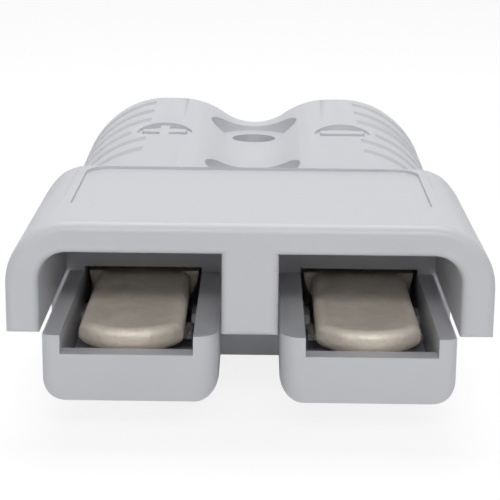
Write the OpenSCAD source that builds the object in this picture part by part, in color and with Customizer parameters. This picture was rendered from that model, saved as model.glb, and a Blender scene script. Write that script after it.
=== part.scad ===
// Genderless two-pole power connector.
// One moulded housing holds two crimp contacts, each pressed up by a leaf spring.
// The mating face looks along -Y, the cables leave along +Y, and +Z is up.
// The origin is under the middle of the housing, on the plane that it lies on.
// Two of these connectors mate when one is turned over about the Y axis, so
// everything that meets the mate is measured from the parting plane at mid height.

/* [Overall] */
// Length from the mating face to the cable end
body_l = 80; // [76:0.5:100]
// Height over the round cable humps
body_h = 28.8; // [28.2:0.2:32]
// Distance between the two poles
pole_pitch = 28.2; // [28:0.1:31]

/* [Hood] */
// Width across the hood
hood_w = 55.9; // [55.6:0.1:62]
// Height of the hood's top above the parting plane
hood_h = 13.1; // [12.6:0.1:13.6]
// Depth of the mating chambers
mate_depth = 28; // [25:0.5:30]
// Thickness of the hood's roof
roof_t = 3.65; // [3:0.05:4]
// Thickness of the hood's side walls
hood_wall = 3.85; // [3.3:0.05:3.95]
// Thickness of the web between the two chambers
web_t = 6.5; // [5.5:0.1:6.8]
// Radius of the hood's long top corners
hood_corner_r = 7.5; // [6:0.1:8]
// Radius round the outer front edge
front_edge_r = 1.25; // [0.8:0.05:1.4]
// Radius along the lower front edge of the hood's walls and web
lip_r = 0.8; // [0.4:0.1:1]
// Radius round the mouth of each chamber
mouth_r = 1; // [0.5:0.1:1.2]
// Radius of each chamber's outer upper corner
chamber_corner_r = 3.2; // [2:0.1:4]
// Depth from the mating face to the hood's back edge
hood_l = 34; // [32.5:0.5:36]
// How far each side of the hood draws in from its front to its back edge
hood_taper = 0.8; // [0.4:0.1:1.1]
// Radius of the hood's two back corners, seen from above
back_corner_r = 4; // [2:0.5:5]
// Radius over the hood's back edge
back_edge_r = 3; // [1.5:0.5:4]

/* [Panel] */
// Width of the sunk panel on the hood's top
panel_w = 42.8; // [36:0.2:43]
// Distance from the mating face to where the panel starts
panel_start = 9.4; // [6:0.2:14]
// Depth of the panel
panel_depth = 0.4; // [0.2:0.05:0.6]
// Land left between the panel and the hood's back edge
panel_land = 2.5; // [2:0.25:4]
// Radius of the panel's back corners
panel_corner_r = 3.5; // [2:0.5:6]
// Radius of the panel's front corners
panel_front_r = 1; // [0.5:0.25:3]

/* [Trays] */
// Width of the well that a contact lies in
well_w = 15.3; // [15:0.1:15.8]
// Depth from the parting plane to the underside of a tray
tray_h = 8; // [7.8:0.05:9]
// Gap between a tray's walls and the parting plane
wall_drop = 0.2; // [0.1:0.05:0.4]
// Thickness of a tray's outer wall
outer_wall_t = 2.15; // [1.6:0.05:2.25]
// Thickness of a tray's inner wall
inner_wall_t = 2.95; // [2.2:0.05:3.05]
// Thickness of a tray's floor
floor_t = 1.5; // [1.2:0.1:1.6]
// Thickness of the sill across a tray's front
sill_t = 2.4; // [1.8:0.1:2.6]
// Depth of the sill below the parting plane
sill_drop = 2.45; // [1.8:0.05:3]
// Radius along the top edges of a tray's walls
wall_edge_r = 0.3; // [0.1:0.05:0.5]
// Radius along a tray's lower edges
tray_bottom_r = 2.8; // [1:0.1:3.5]
// Radius of the front corner beside the slot
tray_inner_r = 2.8; // [1.5:0.1:3.2]
// Radius of the front corner on the outer side
tray_outer_r = 1.4; // [0.8:0.1:1.8]
// Height of the lintel over each contact above the parting plane
lintel_h = 0.45; // [0.3:0.05:0.8]
// Length of the ribs that hold a spring's tail down
rib_l = 4; // [3:0.5:5]
// How far those ribs reach over the tail
rib_lap = 0.5; // [0.3:0.1:0.6]
// Thickness of those ribs
rib_t = 1.2; // [0.8:0.1:1.4]
// Distance from the start of the tail to the ribs
rib_set = 0.5; // [0.2:0.1:1.5]

/* [Grip] */
// Width across the flanks of the grip
grip_w = 52.4; // [50.5:0.1:52.8]
// Distance between the crests of the two humps
crest_pitch = 25.7; // [25.3:0.1:27]
// Height of the valley between the humps above the parting plane
valley_h = 10.4; // [9:0.1:11.5]
// How much lower the crests lie at the hood than at the cable end
crest_fall = 1.3; // [0.9:0.05:1.6]
// Depth of the grip's underside shoulder below the parting plane
collar_h = 11.5; // [10.5:0.1:12.5]
// Radius of that shoulder's two lower corners
collar_r = 5; // [2:0.5:6]
// Radius round the cable end
end_r = 1.5; // [0.5:0.1:2]
// Radius that eases each hump into its flank
flank_r = 5; // [3:0.5:6]
// Number of finger grooves on each flank
groove_count = 6; // [2:1:6]
// Distance between two grooves
groove_pitch = 6.5; // [5:0.1:6.6]
// Width of a groove
groove_w = 2.6; // [1.6:0.1:3.2]
// Depth of a groove in the hump
groove_depth = 0.8; // [0.4:0.05:1]
// Distance from the cable end to the last groove
groove_end = 4; // [3:0.5:6]
// Distance from a hump's crest to where its grooves start
groove_start = 2.4; // [1.5:0.1:4]
// Radius of the sunk polarity marks
mark_r = 4; // [3:0.1:4.5]
// Depth of a polarity mark below the crest
mark_depth = 0.8; // [0.4:0.05:1]
// Distance from the cable end to the polarity marks
mark_end = 24; // [20:0.5:26]
// Land between a polarity mark and the grooves beside it
mark_gap = 0.9; // [0.5:0.1:1.5]

/* [Cable entries] */
// Radius of each cable entry
entry_r = 8.2; // [7.6:0.1:8.4]
// Depth of each cable entry
entry_l = 16; // [12:0.5:20]
// Chamfer round each cable entry
entry_chamfer = 1; // [0.4:0.1:1.2]

/* [Mounting holes] */
// Radius of the two mounting holes
hole_r = 3.3; // [2.6:0.1:3.4]
// Distance between the mounting holes
hole_spacing = 28.6; // [26:0.1:30]
// Distance from the cable end to the rear hole
hole_end = 10; // [9:0.5:11]
// Radius of the flat seat round each hole
seat_r = 6.5; // [5:0.1:7]
// Height of the rear hole's seat above the parting plane
seat_h = 9.7; // [9:0.1:9.9]
// Height of the front hole's seat above the parting plane
front_seat_h = 8.8; // [8.2:0.1:9]

/* [Contacts] */
// Width of a contact's blade
blade_w = 12.4; // [11.5:0.1:12.8]
// Thickness of the blade
blade_t = 3.1; // [2.7:0.1:3.4]
// Depth of the blade's face below the parting plane
blade_drop = 0.5; // [0.3:0.1:0.7]
// Radius along the blade's upper sides
blade_side_r = 1.4; // [0.8:0.1:1.5]
// Radius along the blade's lower sides
blade_foot_r = 1.2; // [0.6:0.1:1.2]
// Gap between the sill and the nose
nose_gap = 1; // [0.6:0.1:1.4]
// Radius of the nose, seen from above
nose_r = 7; // [6.8:0.1:9]
// Radius over the nose's upper edge
nose_edge_r = 1; // [0.5:0.1:1.2]
// Radius under the nose's lower edge
nose_foot_r = 1.4; // [0.8:0.1:1.4]
// Width of the hook under the nose
hook_w = 8; // [6:0.5:10]
// Distance from the nose back to the hook
hook_set = 2.4; // [2:0.1:3]
// Thickness of the hook
hook_t = 3.4; // [3:0.1:4]
// How far the hook reaches below the blade
hook_reach = 2.45; // [2:0.05:2.6]
// Outer radius of the crimp barrel
barrel_r = 7.2; // [6.6:0.05:7.4]
// Radius of the wire bore in the barrel
wire_r = 5.55; // [4.5:0.05:5.7]
// Length of the barrel
barrel_l = 25; // [18:0.5:26]
// Depth of the wire bore
wire_l = 22; // [15:0.5:22.5]
// Running gap between the barrel and the housing
barrel_gap = 0.1; // [0.05:0.01:0.2]

/* [Springs] */
// Width of a leaf spring
spring_w = 14; // [13.4:0.1:14.4]
// Thickness of the spring strip
spring_t = 0.8; // [0.5:0.05:0.9]
// Gap between the hook and the spring's tip
spring_gap = 3.2; // [2:0.1:4]
// Length of the pad that presses on the blade
pad_l = 3.6; // [2.5:0.1:5]
// Length of the bend between the pad and the tail
bend_l = 7; // [6:0.5:8]
// Length of the tail on the tray's floor
tail_l = 11; // [8:0.5:12]

/* [Hidden] */
$fn = 64;

// Where things lie across the connector, from the middle outwards
pole_x = pole_pitch / 2;
crest_x = crest_pitch / 2;
flank_x = grip_w / 2;
hood_x = hood_w / 2;
well_in_x = pole_x - well_w / 2;
well_out_x = pole_x + well_w / 2;
tray_in_x = well_in_x - inner_wall_t;
tray_out_x = well_out_x + outer_wall_t;

// Heights from the parting plane
hump_r = body_h / 2;
ceiling_z = hood_h - roof_t;
well_z = -(tray_h - floor_t);
blade_top_z = -blade_drop;
blade_low_z = blade_top_z - blade_t;

// How far cuts run past what they cut, and how far a rounding skims over the faces it eases
over = 2;
skim = 0.01;

// Depths from the mating face
nose_y = sill_t + nose_gap;
hook_y = nose_y + hook_set;
tip_y = hook_y + hook_t + spring_gap;
bend_y = tip_y + pad_l;
tail_y = bend_y + bend_l;
passage_l = 9;
blade_run = 2;
blade_lap = 0.5;
barrel_y = mate_depth + passage_l;
barrel_end_y = barrel_y + barrel_l;
blade_end_y = mate_depth + blade_run;
ramp_l = 4;
ramp_y = barrel_y - ramp_l;
ramp_room = 1;
ramp_top_z = 4;
ramp_low_z = -6.5;
entry_y = body_l - entry_l;
mark_y = body_l - mark_end;
rear_hole_y = body_l - hole_end;
front_hole_y = rear_hole_y - hole_spacing;

// Back of the hood: its tapered sides close round a corner, and its back edge slopes down
taper_turn = atan(hood_taper / (hood_l - front_edge_r));
back_corner_y = hood_l - back_corner_r;
back_corner_x = hood_x - (back_corner_y - front_edge_r) * tan(taper_turn)
    - back_corner_r / cos(taper_turn);
back_slope = 45;

// Fillets of the grip's outline
valley_r = (crest_x * crest_x + valley_h * valley_h - hump_r * hump_r) / (2 * (hump_r - valley_h));
flank_c_x = flank_x - flank_r;
flank_c_z = sqrt(pow(hump_r - flank_r, 2) - pow(flank_c_x - crest_x, 2));
flank_turn = atan2(flank_c_z, flank_c_x - crest_x);
crest_top_y = body_l - end_r;
crest_tilt = atan(crest_fall / (crest_top_y - hood_l));

// Middle line of the spring's bend, from the pad (t = 0) down to the tail (t = 1)
pad_z = blade_low_z - spring_t / 2;
tail_z = well_z + spring_t / 2;
bend_steps = 14;
function bend_z(t) = tail_z + (pad_z - tail_z) * (1 + cos(180 * t)) / 2;
function bend_slope(t) = atan((tail_z - pad_z) * PI / 2 * sin(180 * t) / bend_l);
function bend_edge(t, side) = [
    bend_y + bend_l * t - side * spring_t / 2 * sin(bend_slope(t)),
    bend_z(t) + side * spring_t / 2 * cos(bend_slope(t))
];

// ---- Helpers -------------------------------------------------------------

// Work from the middle of the mating face, on the parting plane
module from_face() {
    translate([0, -body_l / 2, body_h / 2]) children();
}

// Repeat on both sides of the middle
module both_sides() {
    children();
    mirror([1, 0, 0]) children();
}

// Repeat above and below the parting plane
module both_faces() {
    children();
    mirror([0, 0, 1]) children();
}

// A front outline, drawn as (x, z), from one depth to another
module along_y(y0, y1) {
    translate([0, y1, 0]) rotate([90, 0, 0]) linear_extrude(y1 - y0) children();
}

// A side outline, drawn as (y, z), from one x to another
module across_x(x0, x1) {
    translate([x0, 0, 0]) rotate([90, 0, 90]) linear_extrude(x1 - x0) children();
}

// A plan, drawn as (x, y), from one height to another
module up_z(z0, z1) {
    translate([0, 0, z0]) linear_extrude(z1 - z0) children();
}

// A corner turned about an axis along Y, drawn as (radius, depth)
module corner_along_y() {
    rotate([-90, 0, 0]) rotate([0, 0, -90]) rotate_extrude(angle = 90) children();
}

// Exchange the two coordinates of an outline
module swap() {
    mirror([1, -1, 0]) children();
}

// Rectangle between two points
module box_2d(x0, y0, x1, y1) {
    translate([x0, y0]) square([x1 - x0, y1 - y0]);
}

// Quarter of a disc round the origin
module quarter(r, turn) {
    rotate(turn) intersection() {
        circle(r);
        square(r);
    }
}

// Rectangle with its own radius at each corner, anticlockwise from the low corner
module soft_box_2d(x0, y0, x1, y1, a, b, c, d) {
    polygon([
        [x0 + a, y0], [x1 - b, y0], [x1 - b, y0 + b], [x1, y0 + b],
        [x1, y1 - c], [x1 - c, y1 - c], [x1 - c, y1], [x0 + d, y1],
        [x0 + d, y1 - d], [x0, y1 - d], [x0, y0 + a], [x0 + a, y0 + a]
    ]);
    translate([x0 + a, y0 + a]) quarter(a, 180);
    translate([x1 - b, y0 + b]) quarter(b, 270);
    translate([x1 - c, y1 - c]) quarter(c, 0);
    translate([x0 + d, y1 - d]) quarter(d, 90);
}

// What lies outside a disc round the origin between two angles: cutting it away rounds a corner
module outside_disc(r, a0, a1, far) {
    mid = (a0 + a1) / 2;
    difference() {
        polygon([
            [0, 0], far * [cos(a0), sin(a0)],
            1.3 * far * [cos(mid), sin(mid)], far * [cos(a1), sin(a1)]
        ]);
        circle(r + skim);
    }
}

// ---- Hood ----------------------------------------------------------------

// Rectangle of width w and depth l whose outer front corner is rounded
module rounded_front_2d(w, l, r) {
    polygon([[0, 0], [w - r, 0], [w - r, r], [w, r], [w, l], [0, l]]);
    translate([w - r, r]) quarter(r, 270);
}

// The same rectangle as a hollow, whose outer front corner opens out round r
module flared_front_2d(w, l, r) {
    difference() {
        polygon([[0, -over], [w + r, -over], [w + r, r], [w, r], [w, l], [0, l]]);
        translate([w + r, r]) circle(r);
    }
}

// Block with rounded long corners and a rounded front edge
module hood_block() {
    mid_x = hood_x - hood_corner_r;
    mid_z = hood_h - hood_corner_r;
    l = hood_l + over;
    across_x(-mid_x, mid_x) translate([0, -over]) swap()
        rounded_front_2d(hood_h + over, l, front_edge_r);
    both_sides() translate([mid_x, 0, 0]) {
        up_z(-over, mid_z) rounded_front_2d(hood_corner_r, l, front_edge_r);
        translate([0, 0, mid_z]) corner_along_y()
            rounded_front_2d(hood_corner_r, l, front_edge_r);
    }
}

// Plan of the hood: its sides draw in towards the grip
module hood_plan() {
    back_x = hood_x - hood_taper;
    difference() {
        polygon([
            [-hood_x, -over], [hood_x, -over], [hood_x, front_edge_r],
            [back_x, hood_l], [-back_x, hood_l], [-hood_x, front_edge_r]
        ]);
        both_sides() translate([back_corner_x, back_corner_y])
            outside_disc(back_corner_r, taper_turn, 90, 3 * back_corner_r);
    }
}

// Side outline of the hood: a rounded lip in front, and a rounded back edge that slopes down
module hood_side() {
    c_y = hood_l - back_edge_r;
    c_z = hood_h - back_edge_r;
    r = back_edge_r;
    // point where the rounded edge turns into the slope
    turn_y = c_y + r * sin(back_slope);
    turn_z = c_z + r * cos(back_slope);
    foot_y = turn_y + turn_z / tan(back_slope);
    top_y = turn_y - (hump_r + over - turn_z) / tan(back_slope);
    difference() {
        polygon([[-over, 0], [foot_y, 0], [top_y, hump_r + over], [-over, hump_r + over]]);
        translate([c_y, c_z]) outside_disc(r, 90 - back_slope, 90, 4 * r);
        translate([lip_r, lip_r]) outside_disc(lip_r, 180, 270, 3 * lip_r);
    }
}

module hood() {
    intersection() {
        hood_block();
        up_z(-over, hump_r + over) hood_plan();
        across_x(-hood_x - over, hood_x + over) hood_side();
    }
}

// Hollow of the chamber on the +X side, which takes a tray of the mate
module chamber() {
    r = chamber_corner_r;
    in_x = web_t / 2;
    out_x = hood_x - hood_wall - r;
    // middle and inner side, where the flared web and ceiling meet in a mitre
    intersection() {
        across_x(0, out_x) translate([0, -over]) swap()
            flared_front_2d(ceiling_z + over, mate_depth, mouth_r);
        up_z(-over, hood_h) translate([out_x, 0]) mirror([1, 0])
            flared_front_2d(out_x - in_x, mate_depth, mouth_r);
    }
    // outer side, with its rounded upper corner
    translate([out_x, 0, 0]) {
        up_z(-over, ceiling_z - r) flared_front_2d(r, mate_depth, mouth_r);
        translate([0, 0, ceiling_z - r]) corner_along_y()
            flared_front_2d(r, mate_depth, mouth_r);
    }
}

// Sunk panel on the hood's top
module panel() {
    back_y = hood_l - panel_land;
    r = panel_corner_r;
    f = panel_front_r;
    up_z(hood_h - panel_depth, hump_r + over)
        soft_box_2d(-panel_w / 2, panel_start, panel_w / 2, back_y, f, f, r, r);
}

// ---- Grip ----------------------------------------------------------------

// Upper half of the grip's front outline, carried on down past the lower half
module grip_half_2d() {
    touch_x = crest_x * valley_r / (hump_r + valley_r);
    touch_z = (valley_h + valley_r) * hump_r / (hump_r + valley_r);
    low_z = -hump_r - 2 * over;
    difference() {
        union() {
            both_sides() translate([crest_x, 0]) circle(hump_r);
            box_2d(-touch_x, -over, touch_x, touch_z);
            box_2d(-flank_x, low_z, flank_x, 0);
        }
        // valley between the humps
        translate([0, valley_h + valley_r]) circle(valley_r + skim);
        both_sides() {
            // flank
            box_2d(flank_x, low_z, 2 * hump_r + over, 2 * hump_r);
            // fillet between hump and flank
            translate([flank_c_x, flank_c_z])
                outside_disc(flank_r, 0, flank_turn, 2 * flank_r);
        }
    }
}

// Tip what lies on the crests, so that they fall from the cable end to the hood
module tip_crests() {
    translate([0, crest_top_y, 0]) rotate([crest_tilt, 0, 0])
        translate([0, -crest_top_y, 0]) children();
}

module grip() {
    r = end_r;
    intersection() {
        tip_crests() along_y(mate_depth - over, body_l + over) grip_half_2d();
        mirror([0, 0, 1]) tip_crests() along_y(mate_depth - over, body_l + over) grip_half_2d();
        across_x(-flank_x - over, flank_x + over)
            soft_box_2d(mate_depth, -hump_r, body_l, hump_r, r, r, r, r);
        up_z(-hump_r - over, hump_r + over)
            soft_box_2d(-flank_x, mate_depth, flank_x, body_l, r, r, r, r);
    }
}

// Square shoulder under the parting plane, which stops the mate's web
module collar() {
    r = collar_r;
    along_y(mate_depth, hood_l)
        soft_box_2d(-flank_x, -collar_h, flank_x, over, r, r, over / 2, over / 2);
}

// Round-bottomed finger grooves over the outer side of the hump on the +X side
module grooves() {
    tube_r = (groove_w * groove_w / 4 + groove_depth * groove_depth) / (2 * groove_depth);
    ring_r = hump_r - groove_depth + tube_r;
    near = mark_r + groove_w / 2;
    both_faces() tip_crests() for (i = [0 : groove_count - 1]) {
        y = body_l - groove_end - i * groove_pitch;
        start = abs(y - mark_y) < near ? mark_r + mark_gap : groove_start;
        intersection() {
            translate([crest_x, y, 0]) rotate([90, 0, 0]) rotate_extrude()
                translate([ring_r, 0]) circle(tube_r);
            across_x(crest_x + start, flank_x + over)
                box_2d(y - groove_w, 0, y + groove_w, hump_r + over);
        }
    }
}

// Round sunk mark on the crest of the hump on the +X side
module polarity_mark() {
    tip_crests() translate([crest_x, mark_y, hump_r - mark_depth])
        cylinder(h = over, r = mark_r);
}

// Mounting hole with a flat seat at height h above and below
module mounting_hole(y, h) {
    translate([0, y, -hump_r - over]) cylinder(h = body_h + 2 * over, r = hole_r);
    both_faces() translate([0, y, h]) cylinder(h = hump_r, r = seat_r);
}

// ---- Trays ---------------------------------------------------------------

// Tray on the +X side, solid
module tray() {
    b = tray_bottom_r;
    w = wall_edge_r;
    back_y = mate_depth + over;
    intersection() {
        along_y(-over, back_y)
            soft_box_2d(tray_in_x, -tray_h, tray_out_x, -wall_drop, b, b, w, w);
        up_z(-tray_h - over, over)
            soft_box_2d(tray_in_x, 0, tray_out_x, back_y + over, tray_inner_r, tray_outer_r, w, w);
    }
}

// Hollow of a tray: open over the sill, then a passage under the lintel to the barrel
module well() {
    across_x(well_in_x, well_out_x) polygon([
        [-over, -sill_drop], [sill_t, -sill_drop], [sill_t, well_z], [barrel_y, well_z],
        [barrel_y, lintel_h], [-over, lintel_h]
    ]);
    // room for the ramp between blade and barrel
    translate([pole_x, 0, 0]) along_y(ramp_y - ramp_room, barrel_y) intersection() {
        circle(barrel_r + barrel_gap);
        box_2d(-barrel_r - over, 0, barrel_r + over, ramp_top_z + barrel_gap);
    }
}

// Bore for a barrel, with the wider cable entry behind it
module cable_way() {
    translate([pole_x, 0, 0]) {
        along_y(barrel_y, body_l) circle(barrel_r + barrel_gap);
        along_y(entry_y, body_l + over) circle(entry_r);
        translate([0, body_l - entry_chamfer, 0]) rotate([-90, 0, 0])
            cylinder(h = 2 * entry_chamfer, r1 = entry_r, r2 = entry_r + 2 * entry_chamfer);
    }
}

// Pair of ribs on the well's walls that keep the spring's tail on the floor
module spring_ribs() {
    rib_w = (well_w - spring_w) / 2 + rib_lap;
    low_z = well_z + spring_t;
    y = tail_y + rib_set;
    for (x = [well_in_x, well_out_x - rib_w])
        across_x(x, x + rib_w) box_2d(y, low_z, y + rib_l, low_z + rib_t);
}

// ---- Housing -------------------------------------------------------------

module housing() {
    color([0.80, 0.81, 0.83]) from_face() {
        difference() {
            union() {
                difference() {
                    union() {
                        hood();
                        grip();
                        collar();
                    }
                    both_sides() chamber();
                }
                both_sides() tray();
            }
            both_sides() {
                well();
                cable_way();
                grooves();
                polarity_mark();
            }
            panel();
            mounting_hole(front_hole_y, front_seat_h);
            mounting_hole(rear_hole_y, seat_h);
        }
        both_sides() spring_ribs();
    }
}

// ---- Contacts ------------------------------------------------------------

// Half section of the round nose, drawn as (radius, height)
module nose_2d() {
    r = nose_r;
    e = nose_edge_r;
    f = nose_foot_r;
    polygon([
        [0, blade_low_z], [r - f, blade_low_z], [r - f, blade_low_z + f], [r, blade_low_z + f],
        [r, blade_top_z - e], [r - e, blade_top_z - e], [r - e, blade_top_z], [0, blade_top_z]
    ]);
    translate([r - f, blade_low_z + f]) quarter(f, 270);
    translate([r - e, blade_top_z - e]) quarter(e, 0);
}

// Blade with a round nose and rounded sides
module blade() {
    f = blade_foot_r;
    r = blade_side_r;
    nose_mid_y = nose_y + nose_r;
    intersection() {
        along_y(0, blade_end_y)
            soft_box_2d(-blade_w / 2, blade_low_z, blade_w / 2, blade_top_z, f, f, r, r);
        union() {
            translate([0, nose_mid_y, 0]) rotate_extrude() nose_2d();
            across_x(-blade_w, blade_w)
                box_2d(nose_mid_y, blade_low_z, blade_end_y, blade_top_z);
        }
    }
}

// Hook under the nose, which holds the contact behind the spring's tip
module hook() {
    up_z(blade_low_z - hook_reach, blade_low_z + blade_t / 2)
        box_2d(-hook_w / 2, hook_y, hook_w / 2, hook_y + hook_t);
}

// Side outline of the barrel, with the ramps that lead to it from the blade
module barrel_side() {
    start_y = blade_end_y - blade_lap;
    polygon([
        [start_y, blade_low_z], [ramp_y, blade_low_z], [barrel_y, ramp_low_z],
        [barrel_y, -barrel_r - over], [barrel_end_y, -barrel_r - over],
        [barrel_end_y, barrel_r + over], [barrel_y, barrel_r + over],
        [barrel_y, ramp_top_z], [ramp_y, blade_top_z], [start_y, blade_top_z]
    ]);
}

module contact() {
    color([0.72, 0.69, 0.63]) from_face() translate([pole_x, 0, 0]) difference() {
        union() {
            blade();
            hook();
            intersection() {
                along_y(blade_end_y - blade_lap, barrel_end_y) circle(barrel_r);
                across_x(-barrel_r - over, barrel_r + over) barrel_side();
            }
        }
        along_y(barrel_end_y - wire_l, barrel_end_y + over) circle(wire_r);
    }
}

module positive_contact() {
    mirror([1, 0, 0]) contact();
}

module negative_contact() {
    contact();
}

// ---- Springs -------------------------------------------------------------

// Side outline of a leaf spring: a pad under the blade, a bend, and a tail on the floor
module spring_side() {
    h = spring_t / 2;
    end_y = tail_y + tail_l;
    polygon(concat(
        [[tip_y, pad_z + h]],
        [for (i = [0 : bend_steps]) bend_edge(i / bend_steps, 1)],
        [[end_y, tail_z + h], [end_y, tail_z - h]],
        [for (i = [bend_steps : -1 : 0]) bend_edge(i / bend_steps, -1)],
        [[tip_y, pad_z - h]]
    ));
}

module spring() {
    color([0.78, 0.79, 0.80]) from_face() translate([pole_x, 0, 0])
        across_x(-spring_w / 2, spring_w / 2) spring_side();
}

module positive_spring() {
    mirror([1, 0, 0]) spring();
}

module negative_spring() {
    spring();
}

housing();
positive_contact();
negative_contact();
positive_spring();
negative_spring();
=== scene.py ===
"""Genderless power connector: finishes, polarity signs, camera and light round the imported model."""
import math

import bmesh
import bpy
from mathutils import Euler, Matrix, Vector


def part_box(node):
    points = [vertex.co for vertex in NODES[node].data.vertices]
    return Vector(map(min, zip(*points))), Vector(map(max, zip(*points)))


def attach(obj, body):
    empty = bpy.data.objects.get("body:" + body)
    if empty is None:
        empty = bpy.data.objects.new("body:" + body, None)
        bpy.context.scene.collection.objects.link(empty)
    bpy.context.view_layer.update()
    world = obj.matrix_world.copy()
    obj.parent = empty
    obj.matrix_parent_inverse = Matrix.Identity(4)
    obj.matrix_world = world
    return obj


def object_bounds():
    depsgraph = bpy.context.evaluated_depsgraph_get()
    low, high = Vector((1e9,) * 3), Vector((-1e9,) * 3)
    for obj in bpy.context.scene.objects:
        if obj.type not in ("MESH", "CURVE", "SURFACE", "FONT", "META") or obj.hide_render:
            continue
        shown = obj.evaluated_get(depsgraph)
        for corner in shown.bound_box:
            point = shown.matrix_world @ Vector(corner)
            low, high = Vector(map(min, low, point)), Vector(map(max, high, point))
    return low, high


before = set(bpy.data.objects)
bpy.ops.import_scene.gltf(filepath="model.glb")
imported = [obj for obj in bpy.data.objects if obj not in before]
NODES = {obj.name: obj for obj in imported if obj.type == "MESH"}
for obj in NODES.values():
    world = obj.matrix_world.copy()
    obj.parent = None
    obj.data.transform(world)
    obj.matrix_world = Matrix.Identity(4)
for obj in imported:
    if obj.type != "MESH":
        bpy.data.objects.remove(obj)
CAD_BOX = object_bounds()
MM = 0.001

# ---- Places taken from the frame ------------------------------------------------

HOUSING_LOW, HOUSING_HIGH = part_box("housing")
FRONT_Y = HOUSING_LOW.y
MID_Z = (HOUSING_LOW.z + HOUSING_HIGH.z) / 2

# ---- Camera ---------------------------------------------------------------------

CAMERA_AHEAD = 179.2 * MM
CAMERA_ABOVE = 56.9 * MM
CAMERA_ASIDE = 0.9 * MM
CAMERA_PITCH = math.radians(14.62)
CAMERA_YAW = math.radians(0.3)
CAMERA_ROLL = math.radians(0.6)
CAMERA_LENS = 118.4


def make_camera():
    data = bpy.data.cameras.new("camera")
    data.lens = CAMERA_LENS
    data.sensor_width = 36.0
    data.clip_start = 0.01
    data.clip_end = 10.0
    camera = bpy.data.objects.new("camera", data)
    camera.location = (CAMERA_ASIDE, FRONT_Y - CAMERA_AHEAD, MID_Z + CAMERA_ABOVE)
    aim = Euler((math.pi / 2 - CAMERA_PITCH, 0.0, CAMERA_YAW)).to_matrix()
    camera.rotation_euler = (aim @ Matrix.Rotation(CAMERA_ROLL, 3, "Z")).to_euler()
    bpy.context.scene.collection.objects.link(camera)
    bpy.context.scene.camera = camera


# ---- Material helpers -------------------------------------------------------------


class Nodes:
    """Short calls for building a material's node tree."""

    def __init__(self, name):
        self.material = bpy.data.materials.new(name)
        self.material.use_nodes = True
        self.tree = self.material.node_tree
        self.tree.nodes.clear()

    def add(self, kind, **inputs):
        """A new node, with the inputs given by name (an underscore stands for a space)."""
        node = self.tree.nodes.new(kind)
        for key, value in inputs.items():
            node.inputs[key.replace("_", " ")].default_value = value
        return node

    def link(self, source, out, target, into):
        self.tree.links.new(source.outputs[out], target.inputs[into])

    def place(self):
        return self.add("ShaderNodeTexCoord")

    def noise(self, place, scale, detail=3.0, roughness=0.5, out="Object"):
        """Noise over the object; scale counts its cells per metre."""
        node = self.add("ShaderNodeTexNoise", Scale=scale, Detail=detail, Roughness=roughness)
        self.link(place, out, node, "Vector")
        return node

    def tone(self, source, out, *stops):
        """Colours between the first and the last stop, each a position and a colour."""
        node = self.add("ShaderNodeValToRGB")
        for element, (at, colour) in zip(node.color_ramp.elements, stops):
            element.position = at
            element.color = (*colour, 1.0)
        self.link(source, out, node, "Fac")
        return node

    def span(self, source, out, low, high):
        """The middle of a noise's range, spread from low to high."""
        node = self.add("ShaderNodeMapRange", From_Min=0.3, From_Max=0.7, To_Min=low, To_Max=high)
        self.link(source, out, node, "Value")
        return node

    def bump(self, source, out, strength, distance, under=None):
        """A bump of that height in metres, laid over another one where it is given."""
        node = self.add("ShaderNodeBump", Strength=strength, Distance=distance)
        self.link(source, out, node, "Height")
        if under is not None:
            self.link(under, "Normal", node, "Normal")
        return node

    def principled(self, tone, rough, bump, **inputs):
        """The finished material, from its colour, roughness and bump."""
        shader = self.add("ShaderNodeBsdfPrincipled", **inputs)
        self.link(tone, "Color", shader, "Base Color")
        self.link(rough, "Result", shader, "Roughness")
        self.link(bump, "Normal", shader, "Normal")
        return self.surface(shader)

    def surface(self, shader):
        output = self.add("ShaderNodeOutputMaterial")
        self.link(shader, 0, output, "Surface")
        return self.material


def moulded_plastic():
    """Light cool grey polycarbonate: a satin skin with faint flow marks and fine grain."""
    n = Nodes("moulded_plastic")
    place = n.place()
    flow = n.noise(place, 55.0, 4.0, 0.55)
    grain = n.noise(place, 2600.0, 2.0)
    tone = n.tone(flow, "Fac", (0.30, (0.610, 0.616, 0.645)), (0.70, (0.640, 0.645, 0.672)))
    rough = n.span(flow, "Fac", 0.36, 0.46)
    fine = n.bump(grain, "Fac", 0.10, 0.03 * MM)
    wave = n.bump(flow, "Fac", 0.10, 0.3 * MM, under=fine)
    return n.principled(tone, rough, wave, IOR=1.5)


def plated_copper():
    """Silver-plated copper, tumbled: warm grey metal with small dents and darker hollows."""
    n = Nodes("plated_copper")
    place = n.place()
    cloud = n.noise(place, 260.0, 5.0, 0.6)
    dents = n.noise(place, 900.0, 4.0, 0.6)
    grain = n.noise(place, 3200.0, 3.0, 0.6)
    tone = n.tone(cloud, "Fac", (0.30, (0.80, 0.71, 0.60)), (0.72, (0.98, 0.89, 0.77)))
    rough = n.span(dents, "Fac", 0.34, 0.56)
    fine = n.bump(grain, "Fac", 0.5, 0.08 * MM)
    dent = n.bump(dents, "Fac", 0.7, 0.25 * MM, under=fine)
    return n.principled(tone, rough, dent, Metallic=0.15)


def spring_steel():
    """Stainless strip, drawn along its length."""
    n = Nodes("spring_steel")
    stretch = n.add("ShaderNodeMapping", Scale=(1.0, 0.06, 1.0))
    n.link(n.place(), "Object", stretch, "Vector")
    lines = n.noise(stretch, 4200.0, out="Vector")
    tone = n.tone(lines, "Fac", (0.3, (0.60, 0.61, 0.62)), (0.7, (0.78, 0.785, 0.79)))
    rough = n.span(lines, "Fac", 0.20, 0.36)
    fine = n.bump(lines, "Fac", 0.2, 0.03 * MM)
    return n.principled(tone, rough, fine, Metallic=1.0)


def paint(piece, material):
    piece.data.materials.clear()
    piece.data.materials.append(material)


# ---- CAD nodes ---------------------------------------------------------------------


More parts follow.
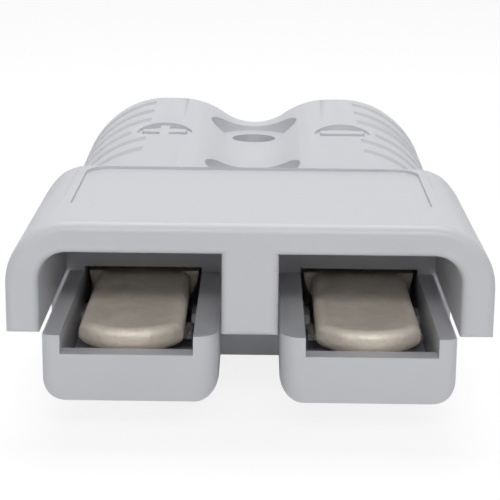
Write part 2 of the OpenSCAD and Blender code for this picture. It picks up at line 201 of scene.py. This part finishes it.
def soften(piece, width, angle=32.0, segments=2):
    """Eases the sharp edges of a CAD node without touching its mesh."""
    weld = piece.modifiers.new("weld", "WELD")
    weld.merge_threshold = 1e-6
    bevel = piece.modifiers.new("ease", "BEVEL")
    bevel.width = width
    bevel.segments = segments
    bevel.limit_method = "ANGLE"
    bevel.angle_limit = math.radians(angle)
    bevel.use_clamp_overlap = True


def dress_nodes():
    plastic = moulded_plastic()
    copper = plated_copper()
    steel = spring_steel()
    paint(NODES["housing"], plastic)
    soften(NODES["housing"], 0.25 * MM)
    for pole in ("positive", "negative"):
        paint(NODES[f"{pole}_contact"], copper)
        soften(NODES[f"{pole}_contact"], 0.3 * MM)
        paint(NODES[f"{pole}_spring"], steel)


# ---- Polarity signs, raised in the sunk marks on the humps ------------------------------

# Middle of a mark's floor: from the middle plane, the cable end and the humps' highest point
MARK_X = 12.85 * MM
MARK_Y = HOUSING_HIGH.y - 24.39 * MM
MARK_Z = HOUSING_HIGH.z - 1.46 * MM
# How the crests fall towards the hood, so that the signs lie flat on the floors
CREST_SLOPE = math.atan(1.3 / 44.5)
SIGN_LONG = 6.4 * MM
SIGN_WIDE = 1.5 * MM
SIGN_HIGH = 0.55 * MM
SIGN_SUNK = 0.15 * MM


def make_sign(name, x, plus):
    """A minus bar, or a plus of two bars, with eased edges, on the floor of its mark."""
    a = SIGN_LONG / 2
    b = SIGN_WIDE / 2
    if plus:
        outline = [(-a, -b), (-b, -b), (-b, -a), (b, -a), (b, -b), (a, -b),
                   (a, b), (b, b), (b, a), (-b, a), (-b, b), (-a, b)]
    else:
        outline = [(-a, -b), (a, -b), (a, b), (-a, b)]
    work = bmesh.new()
    base = [work.verts.new((px, py, -SIGN_SUNK)) for px, py in outline]
    face = work.faces.new(base)
    grown = bmesh.ops.extrude_face_region(work, geom=[face])["geom"]
    raised = [v for v in grown if isinstance(v, bmesh.types.BMVert)]
    bmesh.ops.translate(work, verts=raised, vec=(0.0, 0.0, SIGN_HIGH + SIGN_SUNK))
    bmesh.ops.recalc_face_normals(work, faces=work.faces)
    mesh = bpy.data.meshes.new(name)
    work.to_mesh(mesh)
    work.free()
    sign = bpy.data.objects.new(name, mesh)
    sign.location = (x, MARK_Y, MARK_Z)
    sign.rotation_euler = (CREST_SLOPE, 0.0, 0.0)
    bpy.context.scene.collection.objects.link(sign)
    paint(sign, NODES["housing"].data.materials[0])
    soften(sign, 0.2 * MM)
    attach(sign, "root")


def make_signs():
    make_sign("plus_sign", -MARK_X, True)
    make_sign("minus_sign", MARK_X, False)


# ---- Floor, world and light ----------------------------------------------------------

FLOOR_GAP = 0.02 * MM
FLOOR_SIZE = 6.0
FLOOR_COLOUR = (0.95, 0.95, 0.95, 1.0)
WHITE = (1.0, 1.0, 1.0, 1.0)
SHADOW_SHARE = 0.22
FLOOR_GLOW = 1.09
SKY_COLOUR = (0.95, 0.97, 1.0, 1.0)
SKY_STRENGTH = 0.155

# Softboxes, in metres and watts: place, size, power
SOFTBOXES = {
    "key": ((0.02, -0.52, 0.31), (0.30, 0.07), 1.1),
    "top": ((0.0, 0.10, 0.60), (0.5, 0.4), 2.35),
    "left": ((-0.50, -0.20, 0.25), (0.35, 0.35), 0.08),
    "right": ((0.50, -0.20, 0.25), (0.35, 0.35), 0.08),
}


def lit_white(name):
    """White to the camera apart from a share of the shadow, and plain white to the light."""
    n = Nodes(name)
    diffuse = n.add("ShaderNodeBsdfDiffuse", Color=FLOOR_COLOUR)
    glow = n.add("ShaderNodeEmission", Color=WHITE, Strength=FLOOR_GLOW)
    seen = n.add("ShaderNodeMixShader", Fac=1.0 - SHADOW_SHARE)
    n.link(diffuse, 0, seen, 1)
    n.link(glow, 0, seen, 2)
    path = n.add("ShaderNodeLightPath")
    pick = n.add("ShaderNodeMixShader")
    n.link(path, "Is Camera Ray", pick, "Fac")
    n.link(diffuse, 0, pick, 1)
    n.link(seen, 0, pick, 2)
    return n.surface(pick)


def make_floor():
    bpy.ops.mesh.primitive_plane_add(size=FLOOR_SIZE, location=(0.0, 0.0, CAD_BOX[0].z - FLOOR_GAP))
    floor = bpy.context.object
    floor.name = "floor"
    paint(floor, lit_white("floor_white"))


def make_world():
    """A dim cool sky, which the camera and glossy surfaces see as white."""
    world = bpy.data.worlds.new("studio")
    bpy.context.scene.world = world
    world.use_nodes = True
    tree = world.node_tree
    tree.nodes.clear()
    output = tree.nodes.new("ShaderNodeOutputWorld")
    path = tree.nodes.new("ShaderNodeLightPath")
    either = tree.nodes.new("ShaderNodeMath")
    either.operation = "MAXIMUM"
    tree.links.new(path.outputs["Is Camera Ray"], either.inputs[0])
    tree.links.new(path.outputs["Is Glossy Ray"], either.inputs[1])
    pick = tree.nodes.new("ShaderNodeMixShader")
    tree.links.new(either.outputs[0], pick.inputs["Fac"])
    for into, colour, strength in ((1, SKY_COLOUR, SKY_STRENGTH), (2, WHITE, 1.0)):
        sky = tree.nodes.new("ShaderNodeBackground")
        sky.inputs["Color"].default_value = colour
        sky.inputs["Strength"].default_value = strength
        tree.links.new(sky.outputs[0], pick.inputs[into])
    tree.links.new(pick.outputs[0], output.inputs["Surface"])


def make_lights():
    target = Vector((0.0, 0.0, MID_Z))
    for name, (place, size, power) in SOFTBOXES.items():
        data = bpy.data.lights.new(name, "AREA")
        data.shape = "RECTANGLE"
        data.size, data.size_y = size
        data.energy = power
        lamp = bpy.data.objects.new(name, data)
        lamp.location = place
        lamp.rotation_euler = (target - Vector(place)).to_track_quat("-Z", "Y").to_euler()
        bpy.context.scene.collection.objects.link(lamp)


make_camera()
dress_nodes()
make_signs()
make_floor()
make_world()
make_lights()
bpy.context.scene.view_settings.view_transform = "Standard"
